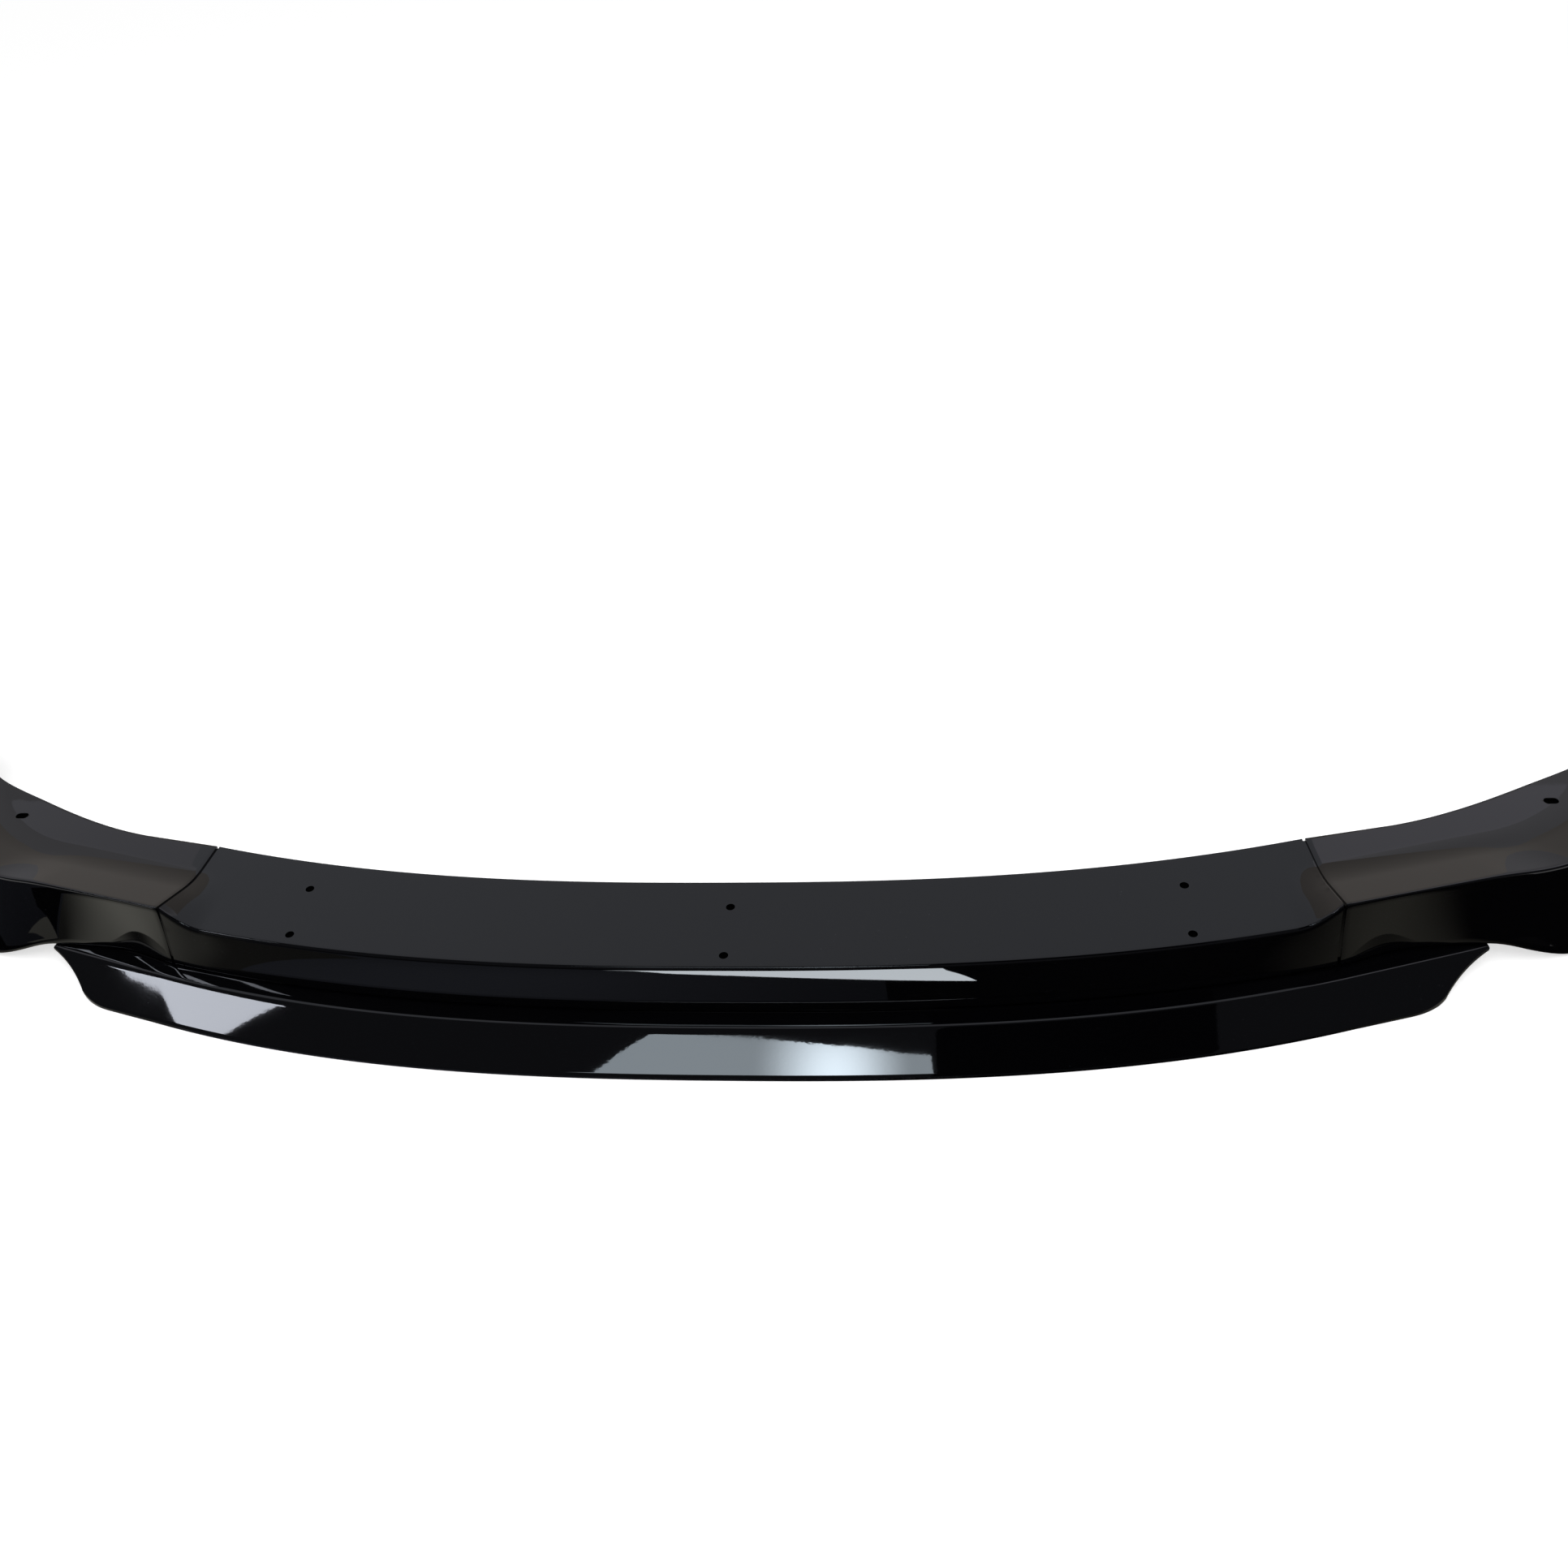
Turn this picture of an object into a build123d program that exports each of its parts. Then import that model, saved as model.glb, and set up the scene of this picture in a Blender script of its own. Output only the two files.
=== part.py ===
from build123d import *
from math import cos, degrees, pi, radians, sin, tan
import os

os.makedirs("parts", exist_ok=True)

# Front bumper lip of four moulded panels: a centre section, two mirrored wings and a lower blade.
# +X is the car's right-hand side in the front view, +Y points to the car's rear and +Z is up.
# The floor is at Z 0 and the origin is at the middle of the whole part's footprint.

# Whole part
overall_width = 1830.0
overall_depth = 440.0
wall = 3.0
crease_round = 3.0
rim_round = 4.0

# Plan of the front crease: flat in the middle, sweeping back towards the seams
seam_sweep = 53.5
seam_angle = 14.5
seam_fan = 7.0
seam_gap = 3.0

# Section of the panels
plate_height = 63.0
plate_depth = 104.0
rim_height = 20.0
face_lean = 11.0
return_width = 20.0

# Raised front of the wings, and the scoop by which the centre section climbs to it
wing_rise = 20.0
wing_rise_end = 15.0
ramp_width = 56.0
ramp_bend = 17.0
scoop_length = 38.0

# Path of a wing: straight from the seam, round the bumper's corner, then along the car's side
wing_straight = 160.0
corner_radius = 252.0
corner_turn = 60.0
inner_run = 130.0
drop_run = 80.0
tuck_run = 105.0
rim_tuck = 4.5
lean_start = 80.0
wing_lean = 35.0
wing_return_width = 16.0
wing_plate_depth = 125.0

# Rear edge of a wing's plate, measured from the front crease at the seam
flare_start = (68.0, 120.0)
flare_inner = (126.0, 139.5)
flare_middle = (192.0, 171.0)
flare_outer = (264.0, 211.5)
flare_tail = (299.0, 256.5)
flare_end = (315.0, 337.5)

# Lower blade
blade_reach = 69.0
blade_seam_reach = 63.0
blade_tip_reach = 59.0
blade_crease_reach = 29.0
blade_seam_crease_reach = 25.0
blade_tip_crease_reach = 19.0
blade_flange_rear = 8.0
blade_edge = 3.0
blade_foot = 5.0
blade_tip_run = 129.0
blade_tip_blunt = 2.0
blade_corner_run = 65.0
blade_corner_round = 18.0
blade_end_hollow = 3.0

# Mounting holes through the plates: those of the centre section are behind the middle of its
# crease, the outer ones inside the seams, and a wing's slot is measured from the seam's crease
hole_diameter = 8.0
hole_row_spacing = 58.0
centre_hole_back = 15.0
outer_hole_back = 40.0
outer_hole_inset = 123.0
wing_slot_out = 210.0
wing_slot_back = 150.5
wing_slot_length = 13.0

# End flanges at the seams and their bolts
end_flange_depth = 22.0
end_flange_margin = 6.0
end_flange_inset = 1.5
bolt_diameter = 5.0
bolt_clearance = 0.25
bolt_across_flats = 8.0
bolt_head_height = 3.5
nut_height = 4.0
nut_clearance = 0.1
bolt_tail = 1.5
bolt_inset = 12.0
bolt_positions = (34.0, 82.0)

# Screws that hold the blade up to the panels
screw_diameter = 4.2
screw_clearance = 0.1
screw_length = 13.0
screw_head_diameter = 9.0
screw_head_height = 2.4
screw_offset = 1.0
centre_screw_shares = (0.19, 0.56, 0.91)
wing_screw_run = 55.0

front_y = -overall_depth / 2
crease_y = front_y + blade_reach
seam_y = crease_y + seam_sweep
corner_length = radians(corner_turn) * corner_radius
drop_end = inner_run + drop_run
tail_start = wing_straight + corner_length


def wing_path(run):
    """Crease of a wing at a distance from the seam: sideways and rearward of it, and its heading."""
    turned = radians(seam_angle)
    straight = min(run, wing_straight)
    heading = turned + min(max(run - wing_straight, 0), corner_length) / corner_radius
    tail = max(run - tail_start, 0)
    out = straight * cos(turned) + corner_radius * (sin(heading) - sin(turned)) + tail * cos(heading)
    back = straight * sin(turned) + corner_radius * (cos(turned) - cos(heading)) + tail * sin(heading)
    return out, back, heading


# The seams stand where the wings' outer rims reach the overall width at the rear cut
tail_out, tail_back, tail_heading = wing_path(tail_start)
tail_run = (overall_depth / 2 - seam_y - tail_back + wing_lean * cos(tail_heading)) / sin(tail_heading)
wing_width = tail_out + tail_run * cos(tail_heading) + wing_lean * sin(tail_heading)
seam_x = overall_width / 2 - wing_width
sweep_power = tan(radians(seam_angle)) * seam_x / seam_sweep


def section_plane(x, y, angle, side):
    """Upright plane across the part: local X runs rearward from the front crease, local Y up."""
    turn = side * radians(angle)
    return Plane(
        origin=(side * x, y, 0),
        x_dir=(-sin(turn), cos(turn), 0),
        z_dir=(cos(turn), sin(turn), 0),
    )


def centre_plane(x, side=1):
    sweep = seam_sweep * (abs(x) / seam_x) ** sweep_power
    return section_plane(x, crease_y + sweep, seam_fan * x / seam_x, side)


def wing_plane(run, side=1):
    """Section plane at a distance along a wing's crease, counted from the seam."""
    out, back, heading = wing_path(run)
    fan_left = (seam_angle - seam_fan) * max(1 - run / inner_run, 0)
    return section_plane(seam_x + out, seam_y + back, degrees(heading) - fan_left, side)


def toward(start, end, distance):
    """The point at a distance from start on the way to end."""
    step = Vector(*end) - Vector(*start)
    return Vector(*start) + step.normalized() * distance


def rounded_outline(plane, corners):
    """Closed face through corners given as (point, reach): each is rounded over its reach."""
    points = [point for point, reach in corners]
    ends = []
    for i, (point, reach) in enumerate(corners):
        before = toward(point, points[i - 1], reach)
        after = toward(point, points[(i + 1) % len(points)], reach)
        ends.append((before, Vector(*point), after))
    with BuildSketch(plane) as outline:
        with BuildLine():
            for i, (before, corner, after) in enumerate(ends):
                if corners[i][1] > 0:
                    Bezier(before, corner, after)
                Line(after, ends[(i + 1) % len(ends)][0])
        make_face()
    return outline.sketch


def panel_section(plane, depth, rise, rim, lean, return_flange):
    """Wall section of a panel: plate, raised ramp, crease, leaning face and bottom return flange."""
    top = plate_height + rise
    slope = rise / ramp_width
    face = lean / (top - rim)
    inner_drop = wall * (1 + slope) / (1 + slope * face)
    corners = [
        ((depth, plate_height), 0),
        ((ramp_width, plate_height), ramp_bend),
        ((0, top), crease_round),
        ((-lean, rim), rim_round),
        ((return_flange - lean, rim), 0),
        ((return_flange - lean, rim + wall), 0),
        ((wall - face * (top - rim - wall), rim + wall), rim_round - wall),
        ((wall - face * inner_drop, top - inner_drop), wall / 2),
        ((ramp_width, plate_height - wall), ramp_bend),
        ((depth, plate_height - wall), 0),
    ]
    return rounded_outline(plane, corners)


def end_flange(plane):
    """Flange that follows the inside of a panel's end, from the middle of its wall inwards."""
    half = wall / 2
    top = plate_height + wing_rise
    face = face_lean / (top - rim_height)
    low = rim_height + wall + end_flange_margin
    rear = plate_depth - end_flange_inset
    corners = [
        ((rear, plate_height - half), 0),
        ((ramp_width, plate_height - half), ramp_bend),
        ((half, top - half - wing_rise / ramp_width * half), 0),
        ((half - face * (top - low), low), 0),
        ((half - face * (top - low) + end_flange_depth, low), 0),
        ((end_flange_depth, plate_height - end_flange_depth), end_flange_margin),
        ((rear, plate_height - end_flange_depth), 0),
    ]
    return rounded_outline(plane, corners)


def blade_section(plane, reach, crease_reach):
    """Section of the blade: flat flange under the panels, crease, and face sloping to the floor."""
    corners = [
        ((blade_flange_rear, rim_height), 0),
        ((-crease_reach, rim_height), crease_round),
        ((-reach, blade_edge), blade_edge / 3),
        ((-reach, 0), blade_edge / 3),
        ((blade_foot - reach, 0), 0),
        ((-crease_reach, rim_height - wall), 0),
        ((blade_flange_rear, rim_height - wall), 0),
    ]
    return rounded_outline(plane, corners)


def centre_blade_section(share):
    narrowing = share**4
    return blade_section(
        centre_plane(share * seam_x),
        blade_reach + (blade_seam_reach - blade_reach) * narrowing,
        blade_crease_reach + (blade_seam_crease_reach - blade_crease_reach) * narrowing,
    )


def end_blade_reach(run):
    return blade_seam_reach + (blade_tip_reach - blade_seam_reach) * run / blade_tip_run


def ease(share):
    """A smooth step from 0 to 1."""
    held = min(max(share, 0), 1)
    return held * held * (3 - 2 * held)


def wing_section(run):
    drop = ease((run - inner_run) / drop_run)
    spread = ease((run - lean_start) / (drop_end - lean_start))
    tuck = rim_tuck * sin(pi * min(run / tuck_run, 1)) ** 2
    return panel_section(
        wing_plane(run),
        wing_plate_depth,
        wing_rise + (wing_rise_end - wing_rise) * drop,
        rim_height * (1 - drop),
        face_lean - tuck + (wing_lean - face_lean) * spread,
        return_width + (wing_return_width - return_width) * drop,
    )


def plan_point(plane, u):
    """Plan position of a point at a distance behind the front crease on a section plane."""
    spot = plane.from_local_coords((u, 0, 0))
    return Vector(spot.X, spot.Y)


sides = (-1, 1)
right_seam = centre_plane(seam_x)
left_seam = centre_plane(seam_x, -1)
seam_points = [(position, plate_height - bolt_inset) for position in bolt_positions]
bolt_hole = bolt_diameter / 2 + bolt_clearance
screw_hole = screw_diameter / 2 + screw_clearance
hole_columns = [
    (0, crease_y + centre_hole_back),
    (outer_hole_inset - seam_x, crease_y + outer_hole_back),
    (seam_x - outer_hole_inset, crease_y + outer_hole_back),
]
centre_screws = [
    plan_point(centre_plane(share * seam_x, side), screw_offset)
    for share in centre_screw_shares
    for side in sides
]
wing_screws = [plan_point(wing_plane(wing_screw_run, side), screw_offset) for side in sides]
span_shares = (-1, -0.84, -0.6, -0.3, 0, 0.3, 0.6, 0.84, 1)
quarter_shares = (0, 0.25, 0.5, 0.75, 1)
inner_shares = (0, 0.15, 0.3, 0.45, 0.6, 0.75, 0.9, 1)

# Rear edge of the right wing's plate, carried on past the seam by its inner straight
flare = [
    (seam_x + out, seam_y + back)
    for out, back in (flare_start, flare_inner, flare_middle, flare_outer, flare_tail, flare_end)
]
inner_edge = Vector(*flare[0]) - plan_point(right_seam, plate_depth)
before_seam = plan_point(right_seam, plate_depth) - inner_edge

# Centre section
scoop_x = seam_x - scoop_length
with BuildPart() as centre_section:
    loft(
        [
            panel_section(centre_plane(share * scoop_x), plate_depth, 0, rim_height, face_lean, return_width)
            for share in span_shares
        ]
    )
    for side in sides:
        loft(
            [
                panel_section(
                    centre_plane(scoop_x + share * (scoop_length - seam_gap / 2), side),
                    plate_depth,
                    wing_rise * share**2,
                    rim_height,
                    face_lean,
                    return_width,
                )
                for share in quarter_shares
            ]
        )
    for seam, inward in ((right_seam, -wall), (left_seam, wall)):
        extrude(end_flange(seam), amount=inward)
        with BuildSketch(seam):
            with Locations(*seam_points):
                Circle(bolt_hole)
        extrude(amount=inward, mode=Mode.SUBTRACT)
    for x, y in hole_columns:
        with Locations((x, y, plate_height), (x, y + hole_row_spacing, plate_height)):
            Hole(hole_diameter / 2, depth=2 * wall)
    with BuildSketch(Plane.XY.offset(rim_height)):
        with Locations(*centre_screws):
            Circle(screw_hole)
    extrude(amount=wall, mode=Mode.SUBTRACT)

# Right wing
with BuildPart() as right_wing:
    inner_start = seam_gap / 2
    loft([wing_section(inner_start + share * (inner_run - inner_start)) for share in inner_shares])
    loft([wing_section(inner_run + share * drop_run) for share in quarter_shares])
    loft([wing_section(drop_end + share * (tail_start - drop_end)) for share in quarter_shares])
    loft([wing_section(run) for run in (tail_start, tail_start + tail_run + wing_plate_depth)], ruled=True)
    extrude(end_flange(right_seam), amount=wall)
    with BuildSketch(right_seam):
        with Locations(*seam_points):
            Circle(bolt_hole)
    extrude(amount=wall, mode=Mode.SUBTRACT)
    with BuildSketch(Plane.XY.offset(rim_height + wall)):
        with BuildLine():
            Line(before_seam, flare[0])
            Spline(flare, tangents=(inner_edge, (0, 1)))
            Polyline(flare[-1], (flare[-1][0], overall_depth), (before_seam.X, overall_depth), before_seam)
        make_face()
    extrude(amount=2 * plate_height, mode=Mode.SUBTRACT)
    with BuildSketch(Plane.XY):
        with Locations((seam_x * 2, overall_depth)):
            Rectangle(seam_x * 2, overall_depth)
    extrude(amount=2 * plate_height, mode=Mode.SUBTRACT)
    with BuildSketch(Plane.XY.offset(plate_height - 2 * wall)):
        with Locations((seam_x + wing_slot_out, seam_y + wing_slot_back)):
            SlotOverall(wing_slot_length, hole_diameter)
    extrude(amount=4 * wall, mode=Mode.SUBTRACT)
    with BuildSketch(Plane.XY.offset(rim_height)):
        with Locations(wing_screws[1]):
            Circle(screw_hole)
    extrude(amount=wall, mode=Mode.SUBTRACT)

# Left wing
with BuildPart() as left_wing:
    mirror(right_wing.part, about=Plane.YZ)

# Lower blade
with BuildPart() as lower_blade:
    loft([centre_blade_section(share) for share in span_shares])
    for side in sides:
        tip = wing_plane(blade_tip_run, side)
        loft(
            [
                blade_section(centre_plane(seam_x, side), blade_seam_reach, blade_seam_crease_reach),
                blade_section(tip, blade_tip_reach, blade_tip_crease_reach),
            ],
            ruled=True,
        )
        corner = plan_point(wing_plane(blade_corner_run, side), -end_blade_reach(blade_corner_run))
        blunt = plan_point(tip, -blade_tip_crease_reach - blade_tip_blunt)
        along_front = plan_point(centre_plane(seam_x, side), -blade_seam_reach) - corner
        outside = Vector(side * blade_tip_run, -blade_reach)
        with BuildSketch(Plane.XY):
            with BuildLine():
                rounding_start = corner + along_front.normalized() * blade_corner_round + Vector(0, -1)
                rounding_end = toward(corner, blunt, blade_corner_round)
                Bezier(rounding_start, corner, rounding_end)
                chord = blunt - rounding_end
                hollow = Vector(-side * chord.Y, side * chord.X).normalized() * 2 * blade_end_hollow
                Bezier(rounding_end, (rounding_end + blunt) / 2 + hollow, blunt)
                Polyline(
                    blunt,
                    (blunt + outside).X * Vector(1, 0) + blunt.Y * Vector(0, 1),
                    (blunt + outside).X * Vector(1, 0) + (corner + outside).Y * Vector(0, 1),
                    (rounding_start.X, (corner + outside).Y),
                    rounding_start,
                )
            make_face()
        extrude(amount=2 * rim_height, mode=Mode.SUBTRACT)
    with BuildSketch(Plane.XY.offset(rim_height - wall)):
        with Locations(*centre_screws, *wing_screws):
            Circle(screw_hole)
    extrude(amount=wall, mode=Mode.SUBTRACT)

# Bolts through the end flanges, heads on the centre section's side
with BuildPart() as joint_bolts:
    for seam, inward in ((right_seam, -1), (left_seam, 1)):
        with BuildSketch(seam.offset(inward * wall)):
            with Locations(*seam_points):
                RegularPolygon(bolt_across_flats / 2, 6, major_radius=False)
        extrude(amount=inward * bolt_head_height)
        with BuildSketch(seam.offset(inward * wall)):
            with Locations(*seam_points):
                Circle(bolt_diameter / 2)
        extrude(amount=-inward * (2 * wall + nut_height + bolt_tail))

# Nuts on the wings' side of the end flanges
with BuildPart() as joint_nuts:
    for seam, inward in ((right_seam, -1), (left_seam, 1)):
        with BuildSketch(seam.offset(-inward * wall)):
            with Locations(*seam_points):
                RegularPolygon(bolt_across_flats / 2, 6, major_radius=False)
                Circle(bolt_diameter / 2 + nut_clearance, mode=Mode.SUBTRACT)
        extrude(amount=-inward * nut_height)

# Self-tapping screws driven up through the blade's flange into the panels' return flanges
with BuildPart() as blade_screws:
    with BuildSketch(Plane.XY.offset(rim_height - wall)):
        with Locations(*centre_screws, *wing_screws):
            Circle(screw_head_diameter / 2)
    extrude(amount=-screw_head_height)
    fillet(edges().group_by(Axis.Z)[0], screw_head_height / 2)
    with BuildSketch(Plane.XY.offset(rim_height - wall)):
        with Locations(*centre_screws, *wing_screws):
            Circle(screw_diameter / 2)
    extrude(amount=screw_length)

for name, piece in (
    ("centre_section", centre_section),
    ("left_wing", left_wing),
    ("right_wing", right_wing),
    ("lower_blade", lower_blade),
    ("joint_bolts", joint_bolts),
    ("joint_nuts", joint_nuts),
    ("blade_screws", blade_screws),
):
    piece.part.label = name
    export_step(piece.part, f"parts/{name}.step")
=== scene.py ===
from math import cos, pi, radians, sin

import bpy
from mathutils import Matrix, Vector
from mathutils.geometry import intersect_line_line_2d


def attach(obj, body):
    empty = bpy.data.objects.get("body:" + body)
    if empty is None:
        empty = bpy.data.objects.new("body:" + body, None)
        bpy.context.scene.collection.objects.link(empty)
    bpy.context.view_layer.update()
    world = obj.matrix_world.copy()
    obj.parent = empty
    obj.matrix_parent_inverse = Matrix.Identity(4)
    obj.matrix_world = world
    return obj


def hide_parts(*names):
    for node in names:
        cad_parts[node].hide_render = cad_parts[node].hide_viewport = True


# The frame: the lip's CAD nodes, each of which a finished piece below stands for.
# Sizes are in metres, +X to the right seen from in front, +Y to the car's rear, floor at Z 0.
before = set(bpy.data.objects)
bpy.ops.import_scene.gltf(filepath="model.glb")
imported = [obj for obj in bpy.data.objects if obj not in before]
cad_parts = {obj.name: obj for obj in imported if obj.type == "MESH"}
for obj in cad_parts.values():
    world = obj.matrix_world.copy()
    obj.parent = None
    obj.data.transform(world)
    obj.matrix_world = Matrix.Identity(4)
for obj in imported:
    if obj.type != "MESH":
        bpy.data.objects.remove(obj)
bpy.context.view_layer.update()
bpy.ops.object.select_all(action="DESELECT")

# Centre section: the long middle panel of the lip, one sheet of moulded piano-black ABS.
# Its plate lies under the bumper, its face drops to a rim that turns back inwards, and its
# ends scoop up to the wings, where it carries a flange to bolt each wing on.
wall = 0.003
front_y = -0.220
crease_y = front_y + 0.069
seam_x = 0.51608
seam_sweep = 0.0535
sweep_power = 2.495
seam_fan = radians(7)
seam_gap = 0.003
plate_height = 0.063
plate_depth = 0.104
rim_height = 0.020
face_lean = 0.011
face_bulge = 0.0009
seam_bulge = -0.0012
return_width = 0.020
crease_round = 0.003
rim_round = 0.004
wing_rise = 0.020
ramp_width = 0.056
ramp_bend = 0.017
scoop_length = 0.038
hole_radius = 0.004
hole_row_spacing = 0.058
hole_columns = ((0.0, 0.015), (0.123 - seam_x, 0.040), (seam_x - 0.123, 0.040))
edge_softness = 0.0006
station_step = 0.005


def centre_station(x):
    """The front crease's place at x, and the turn of the section across the panel there."""
    sweep = seam_sweep * (abs(x) / seam_x) ** sweep_power
    return x, crease_y + sweep, seam_fan * x / seam_x


def on_station(station, back, height):
    """The point at a distance behind the front crease, at a height, on a section."""
    x, y, turn = station
    return Vector((x - back * sin(turn), y + back * cos(turn), height))


def rounded(before, corner, after, reach, steps):
    """Points round a corner, starting and ending at its reach along the two sides."""
    first = corner + (before - corner).normalized() * reach
    last = corner + (after - corner).normalized() * reach
    shares = [step / steps for step in range(steps + 1)]
    return [first.lerp(corner, t).lerp(corner.lerp(last, t), t) for t in shares]


def between(first, last, steps):
    return [first.lerp(last, step / steps) for step in range(1, steps)]


def plate_top(back, rise):
    """Height of a plate that bends up into a ramp towards the front crease."""
    slope = rise / ramp_width
    if back > ramp_width + ramp_bend:
        return plate_height
    if back < ramp_width - ramp_bend:
        return plate_height + slope * (ramp_width - back)
    return plate_height + slope * (ramp_width + ramp_bend - back) ** 2 / (4 * ramp_bend)


def panel_line(depth, rise, rim, lean, return_flange, bulge):
    """Outer line of a panel's section, from the return flange up the face and back over the plate."""
    inner_end = Vector((return_flange - lean, rim))
    foot = Vector((-lean, rim))
    crease = Vector((0, plate_height + rise))
    behind = Vector((crease_round * 2, plate_top(crease_round * 2, rise)))
    rim_curve = rounded(inner_end, foot, crease, rim_round, 6)
    crease_curve = rounded(foot, crease, behind, crease_round, 6)
    face = between(rim_curve[-1], crease_curve[0], 16)
    outward = Vector((-(crease - foot).y, (crease - foot).x)).normalized()
    for step, point in enumerate(face, 1):
        share = step / 16
        point += outward * bulge * 4 * share * (1 - share)
    front = crease_curve[-1].x
    backs = [front + (depth - front) * step / 44 for step in range(1, 45)]
    plate = [Vector((back, plate_top(back, rise))) for back in backs]
    return [inner_end] + between(inner_end, rim_curve[0], 4) + rim_curve + face + crease_curve + plate


def formed_sheet(name, lines):
    """A grid with each column of vertices moved onto one line of points."""
    across = len(lines) - 1
    along = len(lines[0]) - 1
    bpy.ops.mesh.primitive_grid_add(x_subdivisions=across, y_subdivisions=along, size=2)
    sheet = bpy.context.object
    sheet.name = name
    for vertex in sheet.data.vertices:
        column = round((vertex.co.x + 1) / 2 * across)
        row = round((vertex.co.y + 1) / 2 * along)
        vertex.co = lines[column][row]
    return sheet


def apply_modifier(piece, kind, **settings):
    modifier = piece.modifiers.new(kind, kind)
    for name, value in settings.items():
        setattr(modifier, name, value)
    bpy.context.view_layer.objects.active = piece
    bpy.ops.object.modifier_apply(modifier=modifier.name)


def aimed(place, along):
    """The move that stands a thing made on the Z axis at a place, along a direction."""
    return Matrix.Translation(place) @ along.to_track_quat("Z", "Y").to_matrix().to_4x4()


def drill(piece, radius, place, along=Vector((0, 0, 1)), slot=0.0):
    """Cuts a hole through a wall, drawn out sideways where a slot is asked for."""
    bpy.ops.mesh.primitive_cylinder_add(vertices=48, radius=radius, depth=6 * wall)
    drill_bit = bpy.context.object
    for vertex in drill_bit.data.vertices:
        vertex.co.x += slot / 2 if vertex.co.x > 0 else -slot / 2
    drill_bit.data.transform(aimed(place, along))
    apply_modifier(piece, "BOOLEAN", object=drill_bit, solver="EXACT")
    bpy.data.objects.remove(drill_bit)


end_flange_depth = 0.022
end_flange_margin = 0.006
end_flange_inset = 0.0015
bolt_hole_radius = 0.00275
bolt_positions = (0.034, 0.082)
bolt_inset = 0.012


def seam_bolts(station):
    """Where the two bolts of a seam cross it."""
    return [on_station(station, back, plate_height - bolt_inset) for back in bolt_positions]


def end_flange(name, station, step):
    """Flange inside a panel's end: a strip along the section, extruded by its wall along the lip."""
    half = wall / 2
    top = plate_height + wing_rise
    low = rim_height + wall + end_flange_margin
    lean_back = face_lean * (top - low) / (top - rim_height)
    rear = plate_depth - end_flange_inset
    outer = [Vector((half - lean_back, low)), Vector((half, top - 2 * half))]
    backs = [half + (rear - half) * share / 12 for share in range(1, 13)]
    outer += [Vector((back, plate_top(back, wing_rise) - half)) for back in backs]
    knee = Vector((end_flange_depth, plate_height - end_flange_depth))
    inner = [Vector((half - lean_back + end_flange_depth, low)), knee]
    inner += [Vector((max(back, end_flange_depth), plate_height - end_flange_depth)) for back in backs]
    lines = [[on_station(station, *point) for point in line] for line in (outer, inner)]
    flange = formed_sheet(name, lines)
    bpy.ops.object.mode_set(mode="EDIT")
    bpy.ops.mesh.select_all(action="SELECT")
    turn = station[2]
    shift = (cos(turn) * step, sin(turn) * step, 0)
    bpy.ops.mesh.extrude_region_move(TRANSFORM_OT_translate={"value": shift})
    bpy.ops.mesh.select_all(action="SELECT")
    bpy.ops.mesh.normals_make_consistent(inside=False)
    bpy.ops.object.mode_set(mode="OBJECT")
    for place in seam_bolts(station):
        drill(flange, bolt_hole_radius, place, Vector(shift))
    return flange


def join_pieces(main, others):
    bpy.ops.object.select_all(action="DESELECT")
    for piece in (main, *others):
        piece.select_set(True)
    bpy.context.view_layer.objects.active = main
    bpy.ops.object.join()


def finish_edges(piece, softness):
    apply_modifier(
        piece,
        "BEVEL",
        width=softness,
        segments=3,
        limit_method="ANGLE",
        angle_limit=radians(50),
        use_clamp_overlap=True,
    )
    bpy.ops.object.select_all(action="DESELECT")
    piece.select_set(True)
    bpy.context.view_layer.objects.active = piece
    bpy.ops.object.shade_smooth_by_angle(angle=radians(32))


def linear(hex_colour):
    """An sRGB hex colour as linear RGBA."""
    values = [int(hex_colour[i : i + 2], 16) / 255 for i in (1, 3, 5)]
    return [v / 12.92 if v <= 0.04045 else ((v + 0.055) / 1.055) ** 2.4 for v in values] + [1.0]


def add_node(tree, kind, inputs=None, **settings):
    """A node with its settings, its sockets set to values or linked to other sockets."""
    node = tree.nodes.new(kind)
    for name, value in settings.items():
        setattr(node, name, value)
    for socket, value in (inputs or {}).items():
        if isinstance(value, bpy.types.NodeSocket):
            tree.links.new(value, node.inputs[socket])
        else:
            node.inputs[socket].default_value = value
    return node


# Piano-black ABS: moulded, polished gloss with a faint orange peel and a slow wave in the sheet.
# The eye gets a near-black body, clear reflections a little bent, and some dust and wiping marks.
abs_black = bpy.data.materials.new("piano_black_abs")
abs_black.use_nodes = True
tree = abs_black.node_tree
shader = tree.nodes["Principled BSDF"]
place = add_node(tree, "ShaderNodeTexCoord").outputs["Object"]
peel = add_node(tree, "ShaderNodeTexNoise", {"Vector": place, "Scale": 260.0, "Detail": 1.0})
wave = add_node(tree, "ShaderNodeTexNoise", {"Vector": place, "Scale": 22.0, "Detail": 1.0})
peel_bump = add_node(
    tree, "ShaderNodeBump", {"Height": peel.outputs["Fac"], "Strength": 0.006, "Distance": 0.0004}
)
wave_bump = add_node(
    tree,
    "ShaderNodeBump",
    {
        "Height": wave.outputs["Fac"],
        "Normal": peel_bump.outputs["Normal"],
        "Strength": 0.06,
        "Distance": 0.0006,
    },
)
dust = add_node(tree, "ShaderNodeTexVoronoi", {"Vector": place, "Scale": 160.0, "Randomness": 1.0})
specks = add_node(
    tree,
    "ShaderNodeMapRange",
    {"Value": dust.outputs["Distance"], "From Min": 0.05, "From Max": 0.09, "To Min": 1.0, "To Max": 0.0},
)
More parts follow.
